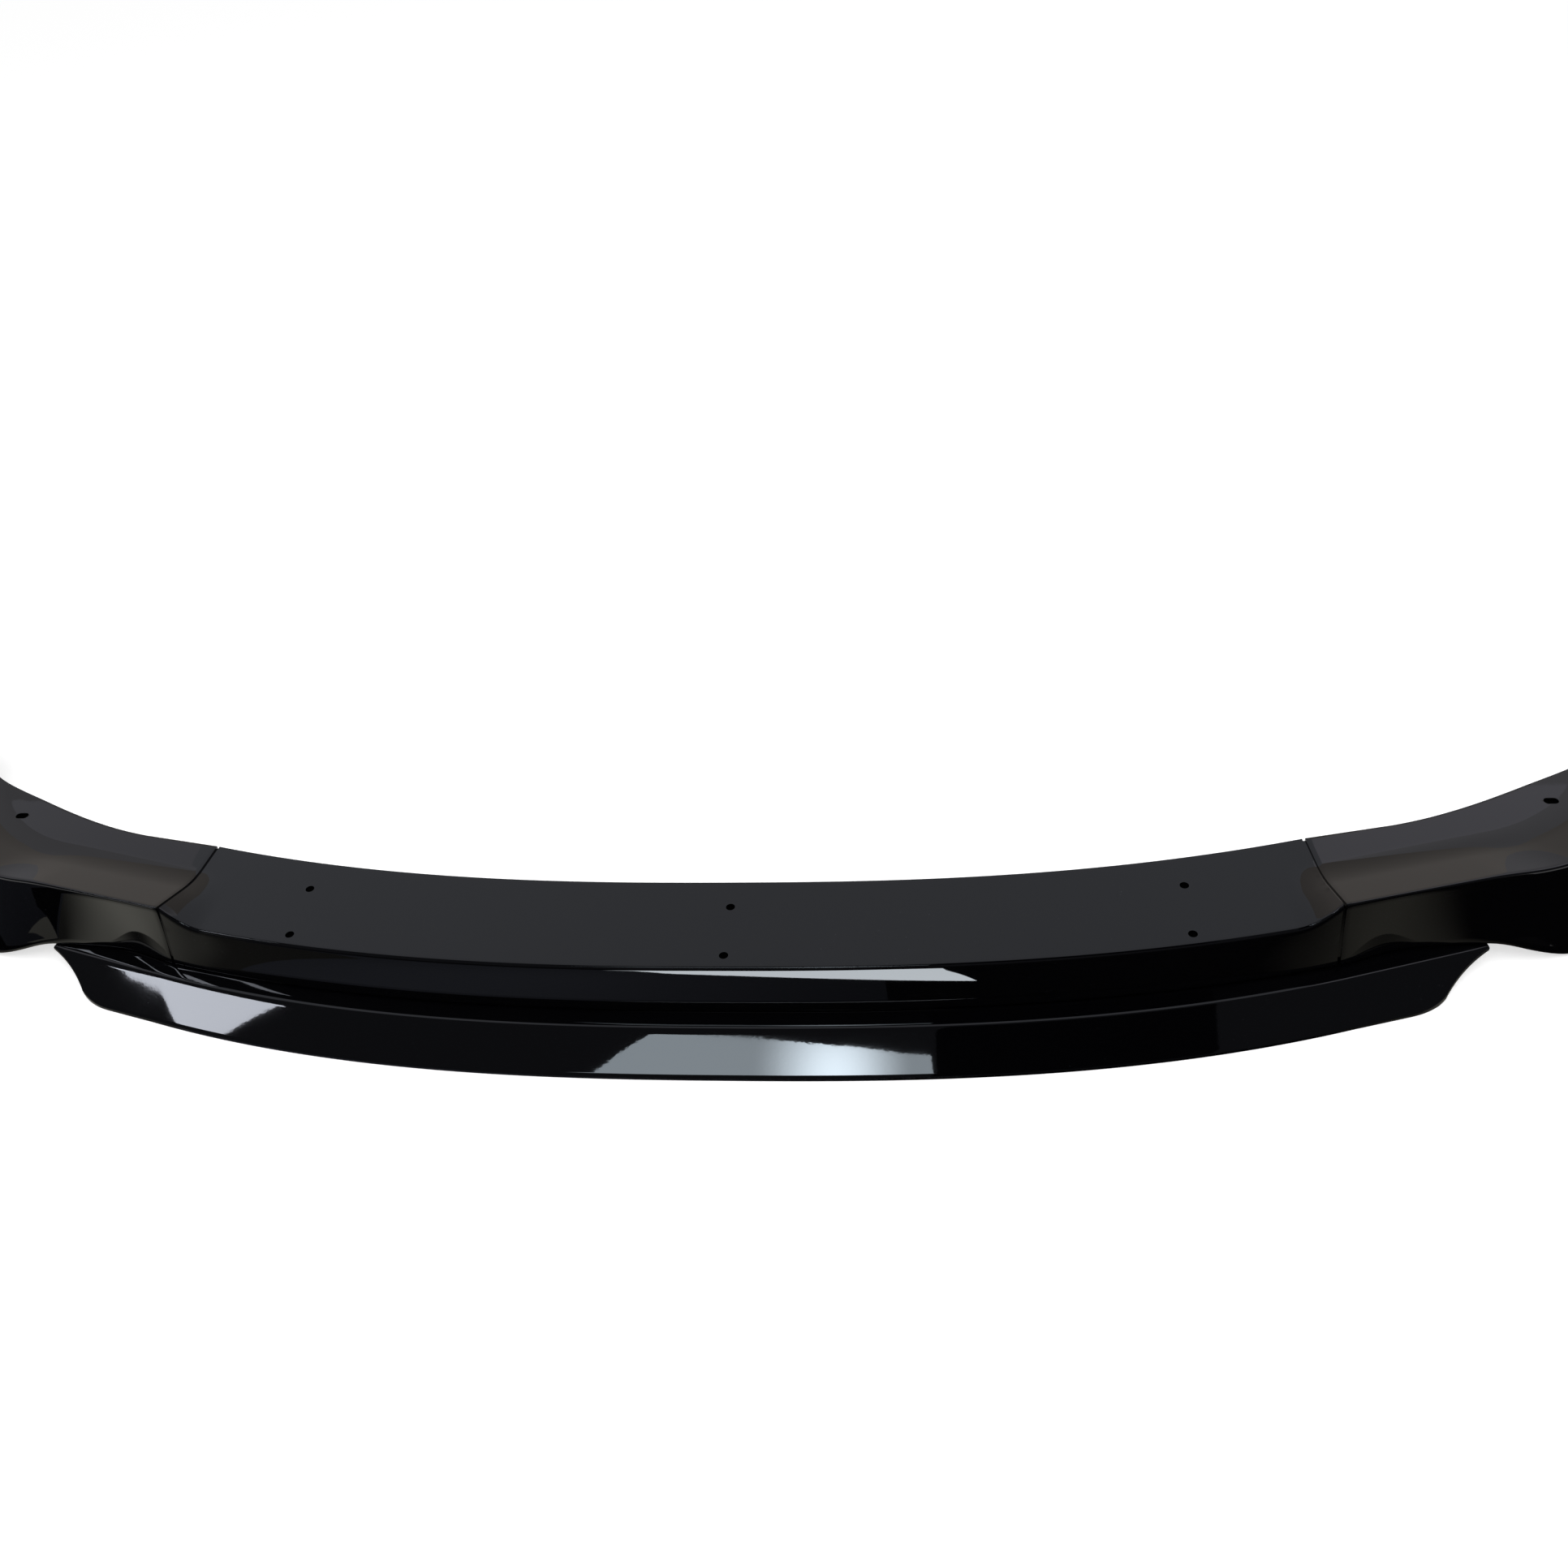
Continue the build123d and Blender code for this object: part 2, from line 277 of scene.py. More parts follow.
patches = add_node(tree, "ShaderNodeTexNoise", {"Vector": place, "Scale": 9.0, "Detail": 4.0})
dusty = add_node(
    tree, "ShaderNodeMapRange", {"Value": patches.outputs["Fac"], "From Min": 0.56, "From Max": 0.72}
)
speckled = add_node(
    tree, "ShaderNodeMath", {0: specks.outputs[0], 1: dusty.outputs[0]}, operation="MULTIPLY"
)
body = add_node(
    tree,
    "ShaderNodeMix",
    {"Factor": speckled.outputs[0], "A": linear("#020203"), "B": linear("#303134")},
    data_type="RGBA",
)
wiped = add_node(
    tree,
    "ShaderNodeMapRange",
    {"Value": patches.outputs["Fac"], "From Min": 0.3, "From Max": 0.75, "To Min": 0.012, "To Max": 0.035},
)
tree.links.new(body.outputs["Result"], shader.inputs["Base Color"])
tree.links.new(wiped.outputs[0], shader.inputs["Roughness"])
tree.links.new(wave_bump.outputs["Normal"], shader.inputs["Normal"])
shader.inputs["IOR"].default_value = 1.5

scoop_x = seam_x - scoop_length
half_span = seam_x - seam_gap / 2
centre_steps = round(2 * half_span / station_step)
lines = []
for step in range(centre_steps + 1):
    x = -half_span + 2 * half_span * step / centre_steps
    climb = max(abs(x) - scoop_x, 0) / (half_span - scoop_x)
    bulge = face_bulge + (seam_bulge - face_bulge) * (abs(x) / half_span) ** 8
    section = panel_line(plate_depth, wing_rise * climb**2, rim_height, face_lean, return_width, bulge)
    lines.append([on_station(centre_station(x), *point) for point in section])
centre_section = formed_sheet("centre_section_skin", lines)
apply_modifier(centre_section, "SOLIDIFY", thickness=wall, offset=-1, use_even_offset=True)
for x, y in hole_columns:
    drill(centre_section, hole_radius, Vector((x, crease_y + y, plate_height)))
    drill(centre_section, hole_radius, Vector((x, crease_y + y + hole_row_spacing, plate_height)))
screw_hole_radius = 0.0022
screw_offset = 0.001
screw_stations = [centre_station(side * share * seam_x) for share in (0.19, 0.56, 0.91) for side in (-1, 1)]
for station in screw_stations:
    drill(centre_section, screw_hole_radius, on_station(station, screw_offset, rim_height))
flanges = [
    end_flange("centre_right_flange", centre_station(seam_x), -wall),
    end_flange("centre_left_flange", centre_station(-seam_x), wall),
]
finish_edges(centre_section, edge_softness)
join_pieces(centre_section, flanges)
centre_section.data.materials.append(abs_black)
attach(centre_section, "root")
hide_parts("centre_section")

# Wings: the two end panels, each a mirror of the other, moulded in the same black ABS.
# From the seam a wing keeps a raised, ramped front, then wraps round the bumper's corner while
# its face drops to the floor; the plate flares back and has one slotted hole.
seam_angle = radians(14.5)
wing_straight = 0.160
corner_radius = 0.252
corner_turn = radians(60)
corner_length = corner_turn * corner_radius
inner_run = 0.130
drop_run = 0.080
tuck_run = 0.105
rim_tuck = 0.0045
lean_start = 0.080
wing_lean = 0.035
wing_rise_end = 0.015
wing_return_width = 0.016
wing_end_y = 0.220
tail_length = 0.150
flare_points = (
    (0.068, 0.120),
    (0.126, 0.1395),
    (0.192, 0.171),
    (0.264, 0.2115),
    (0.299, 0.2565),
    (0.319, 0.3375),
    (0.322, 0.4275),
)
wing_slot = (0.210, 0.1505)
wing_slot_stretch = 0.005


def wing_station(run):
    """Like centre_station, at a distance along a wing's crease from the seam."""
    straight = min(run, wing_straight)
    heading = seam_angle + min(max(run - wing_straight, 0), corner_length) / corner_radius
    tail = max(run - wing_straight - corner_length, 0)
    x = straight * cos(seam_angle) + corner_radius * (sin(heading) - sin(seam_angle)) + tail * cos(heading)
    y = straight * sin(seam_angle) + corner_radius * (cos(seam_angle) - cos(heading)) + tail * sin(heading)
    fan_left = (seam_angle - seam_fan) * max(1 - run / inner_run, 0)
    return seam_x + x, crease_y + seam_sweep + y, heading - fan_left


def plan_reach(station, outline, reach):
    """How far along a section, towards reach, an outline in plan is crossed."""
    start = on_station(station, 0, 0).to_2d()
    end = on_station(station, reach, 0).to_2d()
    for first, last in zip(outline, outline[1:]):
        crossing = intersect_line_line_2d(start, end, first, last)
        if crossing:
            return (crossing - start).length
    return abs(reach)


def ease(share):
    held = min(max(share, 0), 1)
    return held * held * (3 - 2 * held)


def wing_line(run, outline):
    station = wing_station(run)
    drop = ease((run - inner_run) / drop_run)
    spread = ease((run - lean_start) / (inner_run + drop_run - lean_start))
    tuck = rim_tuck * sin(pi * min(run / tuck_run, 1)) ** 2
    section = panel_line(
        plan_reach(station, outline, 0.2),
        wing_rise + (wing_rise_end - wing_rise) * drop,
        rim_height * (1 - drop),
        face_lean - tuck + (wing_lean - face_lean) * spread,
        return_width + (wing_return_width - return_width) * drop,
        seam_bulge,
    )
    return [on_station(station, *point) for point in section]


seam_rear = on_station(wing_station(0), plate_depth, 0).to_2d()
knots = [Vector((seam_x + out, crease_y + seam_sweep + back)) for out, back in flare_points]
knots.insert(0, seam_rear)
flare = [seam_rear + (seam_rear - knots[1]), seam_rear]
for before, first, last, after in zip(knots, knots[1:], knots[2:], knots[3:]):
    for step in range(12):
        t = step / 12
        pull = (last - before) * t + (2 * before - 5 * first + 4 * last - after) * t**2
        flare.append(first + (pull + (3 * first - 3 * last + after - before) * t**3) / 2)
flare += knots[-2:]

run_end = wing_straight + corner_length + tail_length
wing_steps = round(run_end / station_step)
runs = [seam_gap / 2 + (run_end - seam_gap / 2) * step / wing_steps for step in range(wing_steps + 1)]
right_wing = formed_sheet("right_wing_skin", [wing_line(run, flare) for run in runs])
bpy.ops.object.mode_set(mode="EDIT")
bpy.ops.mesh.select_all(action="SELECT")
bpy.ops.mesh.bisect(plane_co=(0, wing_end_y, 0), plane_no=(0, 1, 0), clear_outer=True)
bpy.ops.object.mode_set(mode="OBJECT")
apply_modifier(right_wing, "SOLIDIFY", thickness=wall, offset=-1, use_even_offset=True)
slot_place = Vector((seam_x + wing_slot[0], crease_y + seam_sweep + wing_slot[1], plate_height))
drill(right_wing, hole_radius, slot_place, slot=wing_slot_stretch)
wing_screw_run = 0.055
wing_screw = wing_station(wing_screw_run)
drill(right_wing, screw_hole_radius, on_station(wing_screw, screw_offset, rim_height))
wing_flange = end_flange("wing_flange", wing_station(0), wall)
finish_edges(right_wing, edge_softness)
join_pieces(right_wing, [wing_flange])
right_wing.data.materials.append(abs_black)

bpy.ops.object.duplicate()
left_wing = bpy.context.object
left_wing.name = "left_wing_skin"
bpy.ops.transform.resize(value=(-1, 1, 1), center_override=(0, 0, 0))
bpy.ops.object.transform_apply(location=True, rotation=True, scale=True)
bpy.ops.object.mode_set(mode="EDIT")
bpy.ops.mesh.select_all(action="SELECT")
bpy.ops.mesh.normals_make_consistent(inside=False)
bpy.ops.object.mode_set(mode="OBJECT")
bpy.ops.object.shade_smooth_by_angle(angle=radians(32))
for wing, node in ((right_wing, "right_wing"), (left_wing, "left_wing")):
    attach(wing, "root")
    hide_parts(node)

# Lower blade: the splitter under the centre section, its ends cut back on the slant.
# A flat flange lies under the panels' rims, and the face slopes from a crease to the floor.
blade_reach = 0.069
blade_seam_reach = 0.063
blade_tip_reach = 0.059
blade_crease_reach = 0.029
blade_seam_crease_reach = 0.025
blade_tip_crease_reach = 0.019
blade_flange_rear = 0.008
blade_edge = 0.003
blade_foot = 0.005
blade_tip_run = 0.129
blade_tip_blunt = 0.002
blade_corner_run = 0.065
blade_corner_round = 0.018
blade_end_hollow = 0.003


def blade_ring(rear, crease, reach, front):
    """Closed section of the blade, with its face cut off upright at the front."""
    under = rim_height - wall
    share = (front - crease) / (reach - crease)
    top_z = rim_height + (blade_edge - rim_height) * share
    foot = min(front - 0.0005, reach - blade_foot)
    foot_z = under * (reach - blade_foot - foot) / (reach - blade_foot - crease)
    heel = Vector((rear, rim_height))
    ridge = Vector((-crease, rim_height))
    lip_top = Vector((-front, top_z))
    lip_low = Vector((-front, max(foot_z, 0)))
    toe = Vector((-foot, max(foot_z, 0)))
    hollow = Vector((-crease, under))
    ridge_curve = rounded(heel, ridge, lip_top, min(crease_round, (front - crease) / 2), 6)
    top_curve = rounded(ridge, lip_top, lip_low, blade_edge / 4, 3)
    low_curve = rounded(lip_top, lip_low, toe, min(blade_edge / 4, (front - foot) / 2), 3)
    ring = [Vector((rear, under)), heel] + between(heel, ridge_curve[0], 8) + ridge_curve
    ring += between(ridge_curve[-1], top_curve[0], 14) + top_curve + low_curve
    ring += [toe] + between(toe, hollow, 6) + [hollow, Vector((rear, under))]
    return ring


def end_share(run, start, end):
    return start + (end - start) * run / blade_tip_run


tip = wing_station(blade_tip_run)
corner_reach = end_share(blade_corner_run, blade_seam_reach, blade_tip_reach)
corner = on_station(wing_station(blade_corner_run), -corner_reach, 0)
blunt = on_station(tip, -blade_tip_crease_reach - blade_tip_blunt, 0)
along_front = on_station(wing_station(0), -blade_seam_reach, 0)
end_cut = [point.to_2d() for point in rounded(along_front, corner, blunt, blade_corner_round, 12)]
chord = blunt.to_2d() - end_cut[-1]
hollow = (end_cut[-1] + blunt.to_2d()) / 2 + Vector((-chord.y, chord.x)).normalized() * 2 * blade_end_hollow
end_start = end_cut[-1]
for step in range(1, 17):
    share = step / 16
    end_cut.append(end_start.lerp(hollow, share).lerp(hollow.lerp(blunt.to_2d(), share), share))
end_cut.append(2 * end_cut[-1] - end_cut[-2])

half_lines = []
blade_steps = round(seam_x / station_step)
for step in range(blade_steps):
    share = step / blade_steps
    crease = blade_crease_reach + (blade_seam_crease_reach - blade_crease_reach) * share**4
    reach = blade_reach + (blade_seam_reach - blade_reach) * share**4
    ring = blade_ring(blade_flange_rear, crease, reach, reach)
    half_lines.append((centre_station(share * seam_x), ring))
tip_steps = 52
for step in range(tip_steps + 1):
    run = blade_tip_run * step / tip_steps
    station = wing_station(run)
    crease = end_share(run, blade_seam_crease_reach, blade_tip_crease_reach)
    reach = end_share(run, blade_seam_reach, blade_tip_reach)
    front = min(plan_reach(station, end_cut, -0.2), reach)
    half_lines.append((station, blade_ring(blade_flange_rear, crease, reach, front)))
mirrored = [((-x, y, -turn), ring) for (x, y, turn), ring in reversed(half_lines[1:])]
lines = [[on_station(station, *point) for point in ring] for station, ring in mirrored + half_lines]
lower_blade = formed_sheet("lower_blade_skin", lines)
bpy.ops.object.mode_set(mode="EDIT")
bpy.ops.mesh.select_all(action="SELECT")
bpy.ops.mesh.remove_doubles(threshold=0.00001)
bpy.ops.mesh.fill_holes(sides=0)
bpy.ops.mesh.select_all(action="SELECT")
bpy.ops.mesh.normals_make_consistent(inside=False)
bpy.ops.object.mode_set(mode="OBJECT")
x, y, turn = wing_screw
screw_stations += [wing_screw, (-x, y, -turn)]
for station in screw_stations:
    drill(lower_blade, screw_hole_radius, on_station(station, screw_offset, rim_height))
bpy.ops.object.select_all(action="DESELECT")
lower_blade.select_set(True)
bpy.ops.object.shade_smooth_by_angle(angle=radians(32))
lower_blade.data.materials.append(abs_black)
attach(lower_blade, "root")
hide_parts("lower_blade")

# Joint bolts: four zinc-plated M5 hexagon bolts, two at each seam, through the end flanges.
# Their heads bear on the centre section's flange, and the thread runs on through the nut.
bolt_radius = 0.0025
bolt_flats = 0.008
bolt_head = 0.0035
nut_height = 0.004
bolt_tail = 0.0015
thread_pitch = 0.0008
thread_depth = 0.00045
head_chamfer = 0.0004


def turned(name, profile, around=24):
    """A turned solid: a profile of radius and height pairs, spun round Z."""
    angles = [2 * pi * step / around for step in range(around + 1)]
    spun = [[Vector((r * cos(a), r * sin(a), z)) for r, z in profile] for a in angles]
    solid = formed_sheet(name, spun)
    bpy.ops.object.mode_set(mode="EDIT")
    bpy.ops.mesh.select_all(action="SELECT")
    bpy.ops.mesh.remove_doubles(threshold=0.000005)
    bpy.ops.mesh.normals_make_consistent(inside=False)
    bpy.ops.object.mode_set(mode="OBJECT")
    return solid


def thread(radius, start, end):
    """Profile of a cut thread from one height to another."""
    turns = round((end - start) / thread_pitch)
    crests = [start + (end - start) * turn / turns for turn in range(turns)]
    pitch = (end - start) / turns
    return [pair for z in crests for pair in ((radius, z), (radius - thread_depth, z + pitch / 2))]


def hexagon(name, height):
    """A hexagon across its flats, standing on Z 0."""
    bpy.ops.mesh.primitive_cylinder_add(vertices=6, radius=bolt_flats / 2 / cos(pi / 6), depth=height)
    block = bpy.context.object
    block.name = name
    block.data.transform(Matrix.Translation((0, 0, height / 2)))
    return block


def soften(piece, width):
    """Takes the sharp edges off a small fitting and shades it smooth."""
    apply_modifier(piece, "BEVEL", width=width, segments=2, limit_method="ANGLE", angle_limit=radians(50))
    bpy.ops.object.select_all(action="DESELECT")
    piece.select_set(True)
    bpy.context.view_layer.objects.active = piece
    bpy.ops.object.shade_smooth_by_angle(angle=radians(32))


def set_out(name, pattern, moves):
    """Copies of a finished fixing, one at each place, gathered as one set."""
    copies = []
    for move in moves:
        copy = bpy.data.objects.new(name, pattern.data.copy())
        bpy.context.scene.collection.objects.link(copy)
        copy.data.transform(move)
        copies.append(copy)
    bpy.data.objects.remove(pattern)
    join_pieces(copies[0], copies[1:])
    return copies[0]


bolt_end = 2 * wall + nut_height + bolt_tail
shank = [(0, 0), (bolt_radius, 0), (bolt_radius, wall)]
shank += thread(bolt_radius, wall, bolt_end - thread_depth)
shank += [(bolt_radius - thread_depth, bolt_end), (0, bolt_end)]
bolt = turned("bolt", shank)
bolt_hex = hexagon("bolt_head", bolt_head)
bolt_hex.data.transform(Matrix.Translation((0, 0, -bolt_head)))
soften(bolt_hex, head_chamfer)
join_pieces(bolt, [bolt_hex])
bolt_moves = []
nut_moves = []
for side in (-1, 1):
    seam = centre_station(side * seam_x)
    outward = side * Vector((cos(seam[2]), sin(seam[2]), 0))
    bolt_moves += [aimed(place - outward * wall, outward) for place in seam_bolts(seam)]
    nut_moves += [aimed(place + outward * wall, outward) for place in seam_bolts(seam)]
joint_bolts = set_out("joint_bolts_set", bolt, bolt_moves)

# Zinc plate on steel: pale grey metal, dulled by the bath's fine crystal grain.
# The eye gets soft, broken reflections and a slightly uneven grey.
zinc_steel = bpy.data.materials.new("zinc_plated_steel")
zinc_steel.use_nodes = True
tree = zinc_steel.node_tree
shader = tree.nodes["Principled BSDF"]
place = add_node(tree, "ShaderNodeTexCoord").outputs["Object"]
grain = add_node(tree, "ShaderNodeTexNoise", {"Vector": place, "Scale": 1800.0, "Detail": 3.0})
dulled = add_node(
    tree, "ShaderNodeMapRange", {"Value": grain.outputs["Fac"], "To Min": 0.24, "To Max": 0.48}
)
shader.inputs["Base Color"].default_value = linear("#b4b6b4")
shader.inputs["Metallic"].default_value = 1.0
tree.links.new(dulled.outputs[0], shader.inputs["Roughness"])
joint_bolts.data.materials.append(zinc_steel)
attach(joint_bolts, "root")
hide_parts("joint_bolts")

# Joint nuts: four zinc-plated M5 hexagon nuts, one on each bolt.
# They are pressed and tapped, and run up against the wings' end flanges.
nut_bore = 0.0026
nut = hexagon("nut", nut_height)
drill(nut, nut_bore, Vector((0, 0, nut_height / 2)))
soften(nut, head_chamfer)
joint_nuts = set_out("joint_nuts_set", nut, nut_moves)
joint_nuts.data.materials.append(zinc_steel)
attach(joint_nuts, "root")
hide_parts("joint_nuts")

# Blade screws: eight black self-tapping pan-head screws with a cross recess.
# They are driven up through the blade's flange into the panels' return flanges.
screw_radius = 0.0021
screw_length = 0.013
screw_point = 0.003
screw_head_radius = 0.0045
screw_head_height = 0.0024
recess_width = 0.0011
recess_span = 0.0046
recess_depth = 0.0014
edge_steps = [radians(90) * step / 6 for step in range(7)]
pan = screw_head_height / 2
head_edge = [(screw_head_radius - pan + pan * sin(a), -pan - pan * cos(a)) for a in edge_steps]
profile = [(0, -screw_head_height)] + head_edge + [(screw_head_radius, 0), (screw_radius, 0)]
profile += thread(screw_radius, 0.0004, screw_length - screw_point)
profile += [(screw_radius * 0.7, screw_length - screw_point * 0.6), (0, screw_length)]
screw = turned("screw", profile, 32)
for width, span in ((recess_width, recess_span), (recess_span, recess_width)):
    bpy.ops.mesh.primitive_cube_add(size=1)
    punch = bpy.context.object
    punch.data.transform(Matrix.Diagonal((width, span, 2 * recess_depth, 1)))
    punch.data.transform(Matrix.Translation((0, 0, -screw_head_height)))
    apply_modifier(screw, "BOOLEAN", object=punch, solver="EXACT")
    bpy.data.objects.remove(punch)
bpy.ops.object.select_all(action="DESELECT")
screw.select_set(True)
bpy.ops.object.shade_smooth_by_angle(angle=radians(40))
seats = [on_station(station, screw_offset, rim_height - wall) for station in screw_stations]
blade_screws = set_out("blade_screws_set", screw, [Matrix.Translation(seat) for seat in seats])

# Black-coated steel: a thin satin coat on the screws, a little worn.
# The eye gets a dull grey-black sheen.
black_steel = bpy.data.materials.new("black_coated_steel")
black_steel.use_nodes = True
tree = black_steel.node_tree
shader = tree.nodes["Principled BSDF"]
place = add_node(tree, "ShaderNodeTexCoord").outputs["Object"]
grain = add_node(tree, "ShaderNodeTexNoise", {"Vector": place, "Scale": 900.0, "Detail": 3.0})
worn = add_node(tree, "ShaderNodeMapRange", {"Value": grain.outputs["Fac"], "To Min": 0.34, "To Max": 0.55})
shader.inputs["Base Color"].default_value = linear("#151516")
tree.links.new(worn.outputs[0], shader.inputs["Roughness"])
blade_screws.data.materials.append(black_steel)
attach(blade_screws, "root")
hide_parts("blade_screws")

# Camera: held in front of the lip's right half, looking down on it and a little tilted.
camera_place = Vector((0.193, -1.017, 1.000))
camera_pitch = radians(40)
camera_yaw = radians(8.15)
camera_roll = radians(-5.92)
image_size = 1932
focal_pixels = 1872
ahead = cos(camera_pitch)
forward = Vector((-sin(camera_yaw) * ahead, cos(camera_yaw) * ahead, -sin(camera_pitch)))
level = Vector((cos(camera_yaw), sin(camera_yaw), 0))
upright = level.cross(forward)
image_right = level * cos(camera_roll) + upright * sin(camera_roll)
image_up = upright * cos(camera_roll) - level * sin(camera_roll)
camera_data = bpy.data.cameras.new("camera")
camera_data.sensor_width = 36
camera_data.lens = camera_data.sensor_width * focal_pixels / image_size
camera = bpy.data.objects.new("camera", camera_data)
bpy.context.scene.collection.objects.link(camera)
camera_axes = Matrix((image_right, image_up, -forward)).transposed().to_4x4()
camera.matrix_world = Matrix.Translation(camera_place) @ camera_axes
bpy.context.scene.camera = camera

# Floor: plain white studio paper under the lip, bright enough to be white where the light is open.
# It keeps the lip's soft shadow, which only takes away the part of its white that the lamp gives.
def seen_directly(tree):
    """A socket that is 1 for what the camera, a reflection or a clear body shows, else 0."""
    path = add_node(tree, "ShaderNodeLightPath").outputs
    either = add_node(
        tree, "ShaderNodeMath", {0: path["Is Camera Ray"], 1: path["Is Glossy Ray"]}, operation="MAXIMUM"
    )
    any_of = add_node(
        tree, "ShaderNodeMath", {0: either.outputs[0], 1: path["Is Transmission Ray"]}, operation="MAXIMUM"
    )
    return any_of.outputs[0]


bpy.ops.mesh.primitive_plane_add(size=40)
floor = bpy.context.object
floor.name = "floor"
floor_paper = bpy.data.materials.new("white_studio_paper")
floor_paper.use_nodes = True
tree = floor_paper.node_tree
shader = tree.nodes["Principled BSDF"]
shader.inputs["Base Color"].default_value = linear("#dcdcdc")
shader.inputs["Roughness"].default_value = 0.9
shader.inputs["Specular IOR Level"].default_value = 0.0
shader.inputs["Emission Color"].default_value = linear("#ffffff")
glow = add_node(tree, "ShaderNodeMath", {0: seen_directly(tree), 1: 0.62}, operation="MULTIPLY")
tree.links.new(glow.outputs[0], shader.inputs["Emission Strength"])
floor.data.materials.append(floor_paper)

# Lamp: one large soft box overhead that lights the floor and the fixings.
# The gloss shows the cards below in its place.
bpy.ops.object.light_add(type="AREA", location=(0.1, -0.5, 2.2))
soft_box = bpy.context.object
soft_box.data.size = 2.4
soft_box.data.energy = 34
soft_box.visible_glossy = False

# Surround: white for the camera and for reflections, and a softer fill light on everything else.
world = bpy.data.worlds.new("white_surround")
bpy.context.scene.world = world
world.use_nodes = True
tree = world.node_tree
background = tree.nodes["Background"]
background.inputs["Color"].default_value = linear("#ffffff")
level = add_node(tree, "ShaderNodeMapRange", {"Value": seen_directly(tree), "To Min": 0.5, "To Max": 1.0})
tree.links.new(level.outputs[0], background.inputs["Strength"])
bpy.context.scene.view_settings.view_transform = "Standard"

# Hole shade: near-black discs under the drilled holes, a painted shade.
# They stand in for the dark, shaded ground under the lip, so the holes look dark and no white floor shines
# through.
hole_shade_radius = 0.0105
hole_shade_black = bpy.data.materials.new("hole_shade_black")
hole_shade_black.use_nodes = True
shader = hole_shade_black.node_tree.nodes["Principled BSDF"]
# Near-black: the painted shade seen through the holes.
shader.inputs["Base Color"].default_value = linear("#020202")
shader.inputs["Roughness"].default_value = 0.9
shader.inputs["Specular IOR Level"].default_value = 0.0
hole_places = [(x, crease_y + y + row) for x, y in hole_columns for row in (0, hole_row_spacing)]
hole_places += [(side * slot_place.x, slot_place.y) for side in (-1, 1)]
for x, y in hole_places:
    bpy.ops.mesh.primitive_circle_add(vertices=32, radius=hole_shade_radius, fill_type="NGON")
    hole_shade_disc = bpy.context.object
    hole_shade_disc.data.transform(Matrix.Translation((x, y, plate_height - wall - 0.0003)))
    hole_shade_disc.data.materials.append(hole_shade_black)

# Cards: boards and cloths that stand round the lip for its gloss to mirror, as in a studio.
# They are seen in reflections alone, and each gives one of the tones that the gloss shows.
ceiling = 2.4
back_wall = 5.0


def card(name, corners, colour, strength, glow=None):
    """A flat board with four corners in order; a glow adds brightness that fades round a point."""
    bpy.ops.mesh.primitive_plane_add(size=2)
    board = bpy.context.object
    board.name = name
    order = {(-1, -1): 0, (1, -1): 1, (1, 1): 2, (-1, 1): 3}
    for vertex in board.data.vertices:
        vertex.co = corners[order[round(vertex.co.x), round(vertex.co.y)]]
    paint = bpy.data.materials.new(name + "_paint")
    paint.use_nodes = True
    tree = paint.node_tree
    tree.nodes.clear()
    light = add_node(tree, "ShaderNodeEmission", {"Color": linear(colour), "Strength": strength})
    if glow:
        middle, radius, extra = glow
        place = add_node(tree, "ShaderNodeTexCoord").outputs["Object"]
        distance = add_node(tree, "ShaderNodeVectorMath", {0: place, 1: middle}, operation="DISTANCE")
        fade = add_node(
            tree,
            "ShaderNodeMapRange",
            {
                "Value": distance.outputs["Value"],
                "From Max": radius,
                "To Min": strength + extra,
                "To Max": strength,
            },
            interpolation_type="SMOOTHSTEP",
        )
        tree.links.new(fade.outputs[0], light.inputs["Strength"])
    add_node(tree, "ShaderNodeOutputMaterial", {"Surface": light.outputs[0]})
    board.data.materials.append(paint)
    board.visible_camera = False
    board.visible_diffuse = False
    board.visible_shadow = False
    board.visible_transmission = False


def flat_card(name, height, plan, colour, strength, glow=None):
    card(name, [(x, y, height) for x, y in plan], colour, strength, glow)


def upright_card(name, y, face, colour, strength, glow=None):
    card(name, [(x, y, z) for x, z in face], colour, strength, glow)


# Behind: a warm wall that the ramps mirror, and a paler one past its ends.
wall_face = [(-3.68, 0), (2.30, 0), (1.95, 4.6), (-3.68, 4.6)]
upright_card("warm_wall", back_wall, wall_face, "#fff6ef", 0.46)
pale_face = [(-14, 0), (14, 0), (14, 9), (-14, 9)]
upright_card("pale_wall", back_wall + 0.05, pale_face, "#f6f5fc", 0.42, ((0, back_wall, 9), 8, 1.5))

# Above: the pale ceiling over the plates, brighter over the wings, and the dark one over the blade.
flat_card("pale_ceiling", ceiling, [(-2.3, 0.7), (1.3, 0.7), (1.3, 2.8), (-2.3, 2.8)], "#f0f4ff", 0.60)
flat_card("right_ceiling", ceiling, [(1.3, 0.7), (9, 0.7), (9, 2.8), (1.3, 2.8)], "#f4f3ff", 0.95)
flat_card("left_ceiling", ceiling, [(-9, 0.7), (-2.3, 0.7), (-2.3, 2.8), (-9, 2.8)], "#f4f4ff", 0.70)
flat_card("dark_ceiling", ceiling, [(-7, -7), (7, -7), (7, 0.7), (-7, 0.7)], "#eef2ff", 0.09)
flat_card("black_ceiling", 2.39, [(0.25, -1.2), (1.35, -1.2), (1.05, 0.3), (0.25, 0.3)], "#ffffff", 0.004)
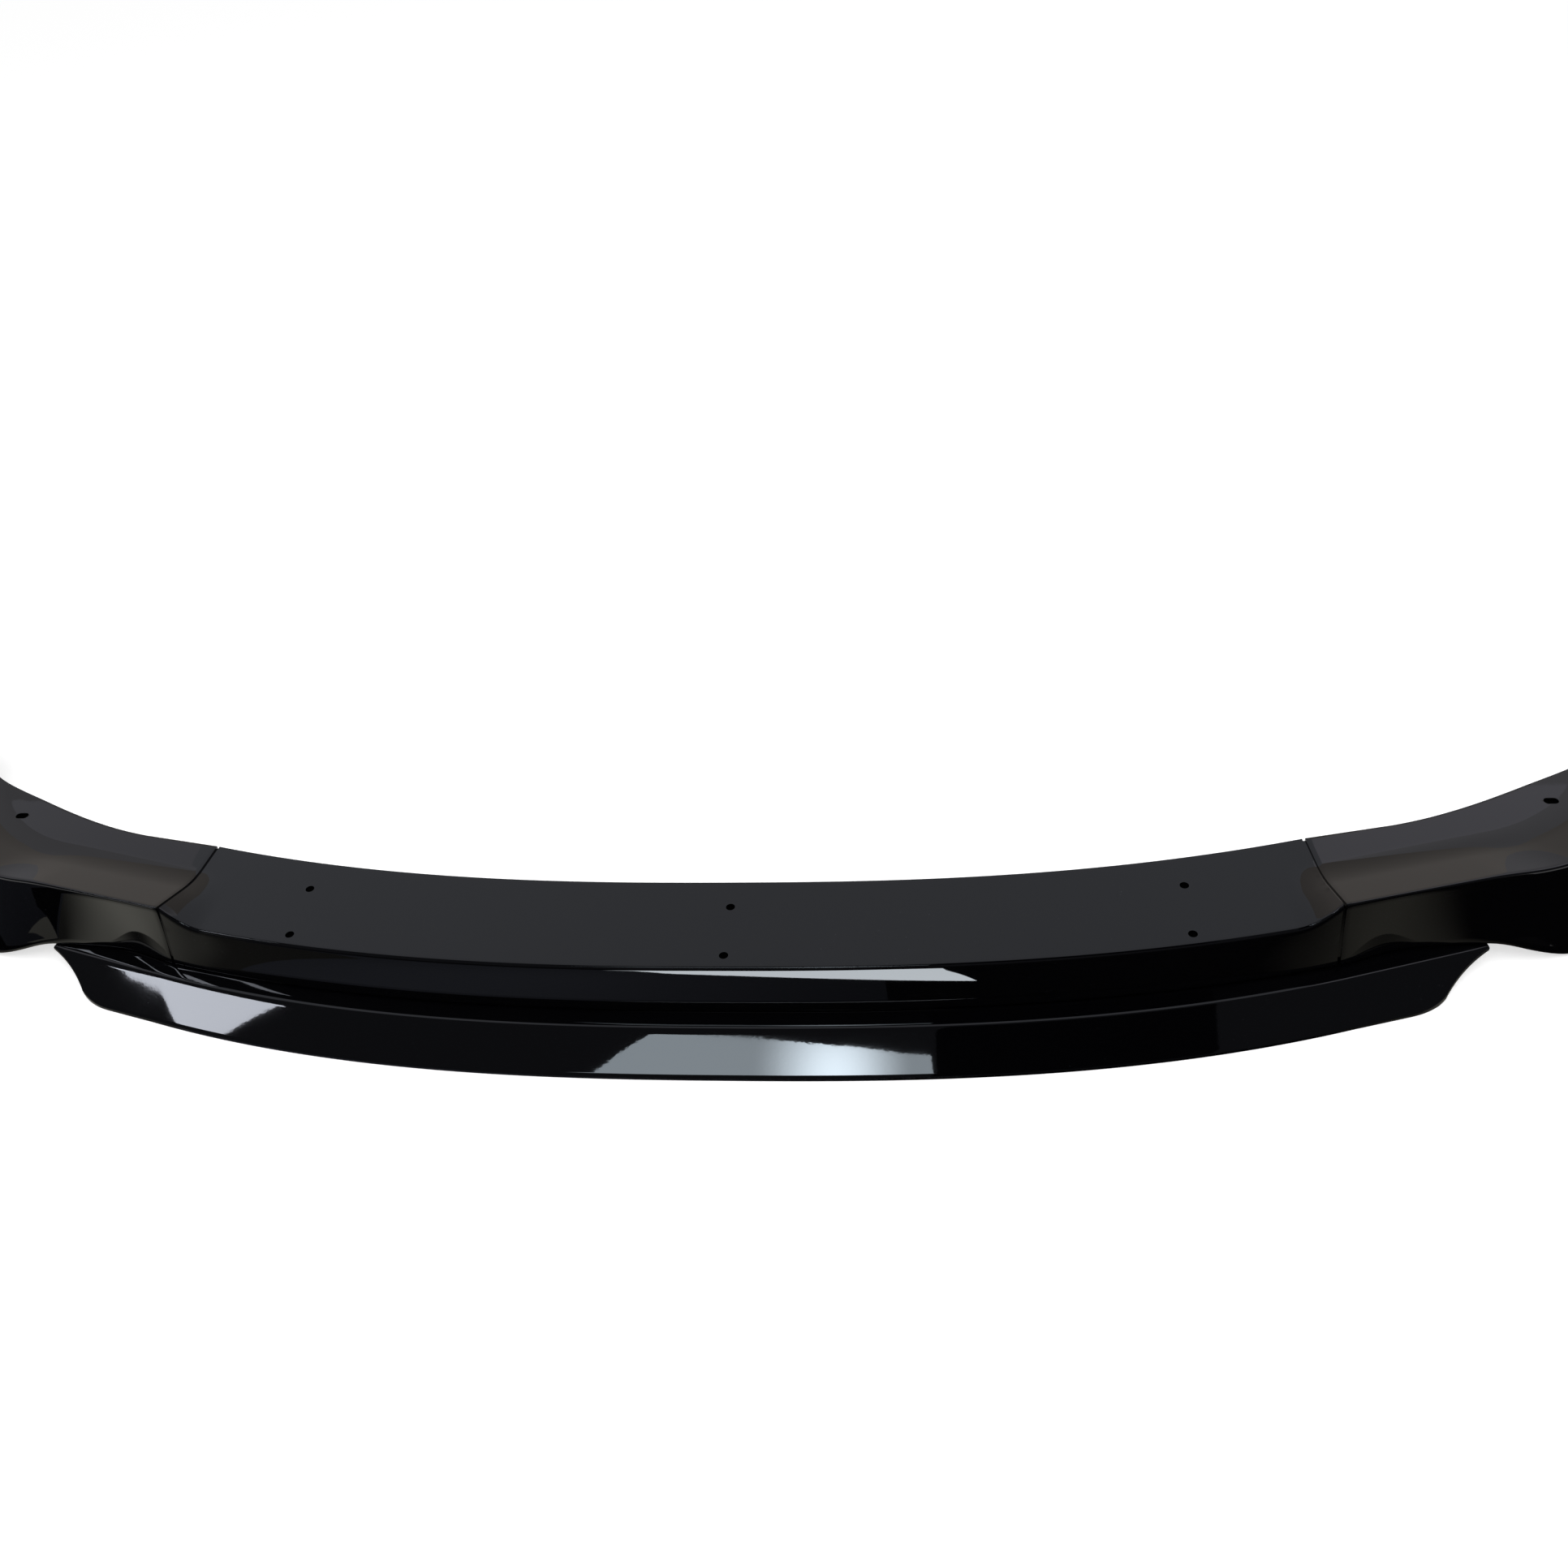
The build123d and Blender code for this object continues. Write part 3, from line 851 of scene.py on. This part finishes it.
left_pane = [(-2.74, -0.05), (-2.68, -0.135), (-2.45, -0.335), (-2.21, -0.356)]
flat_card("left_window", 2.38, left_pane, "#eef3ff", 12.5)
left_tail = [(-2.74, -0.05), (-2.21, -0.356), (-1.88, -0.29), (-1.88, -0.262)]
flat_card("left_window_tail", 2.38, left_tail, "#eef3ff", 12.5)
middle_pane = [(-0.81, -0.56), (0.245, -0.56), (0.232, -0.469), (-0.54, -0.413)]
flat_card("middle_window", 2.38, middle_pane, "#e6f4ff", 6.3, ((-0.05, -0.52, 2.38), 0.24, 18.0))

upright_card("dark_front", -7, [(-9, 0), (9, 0), (9, ceiling), (-9, ceiling)], "#ffffff", 0.02)

# In front: dark cloth on the floor, pale to the left, with two mats and one long light on it.
cloth = [(-9, -7), (9, -7), (9, -0.03), (-9, -0.03)]
flat_card("dark_cloth", 0.0006, cloth, "#e2e9ff", 0.07, ((-0.30, -0.32, 0), 0.55, 0.15))
flat_card("black_cloth", 0.0008, [(0.14, -7), (9, -7), (9, -0.03), (0.14, -0.03)], "#ffffff", 0.008)
right_mat = [(0.44, -0.28), (0.74, -0.28), (0.74, -0.05), (0.44, -0.05)]
flat_card("right_mat", 0.0010, right_mat, "#fffbe9", 0.008, ((0.60, -0.13, 0), 0.13, 0.24))
left_mat = [(-0.77, -0.40), (-0.50, -0.40), (-0.50, -0.05), (-0.745, -0.05)]
flat_card("left_mat", 0.0010, left_mat, "#fffdf0", 0.08, ((-0.64, -0.12, 0), 0.13, 0.62))
left_gap = [(-0.93, -0.05), (-0.745, -0.05), (-0.77, -0.25), (-0.87, -0.25)]
flat_card("left_gap", 0.0011, left_gap, "#ffffff", 0.004)
left_edge = [(-1.12, -0.48), (-0.77, -0.40), (-0.76, -0.255), (-0.82, -0.25)]
flat_card("left_edge_mat", 0.0010, left_edge, "#fffdf0", 0.36)
front_pane = [(-0.215, -0.56), (-0.215, -1.3), (0.17, -1.3), (0.235, -0.31)]
flat_card("front_light", 0.0012, front_pane, "#f0f8ff", 12.5)
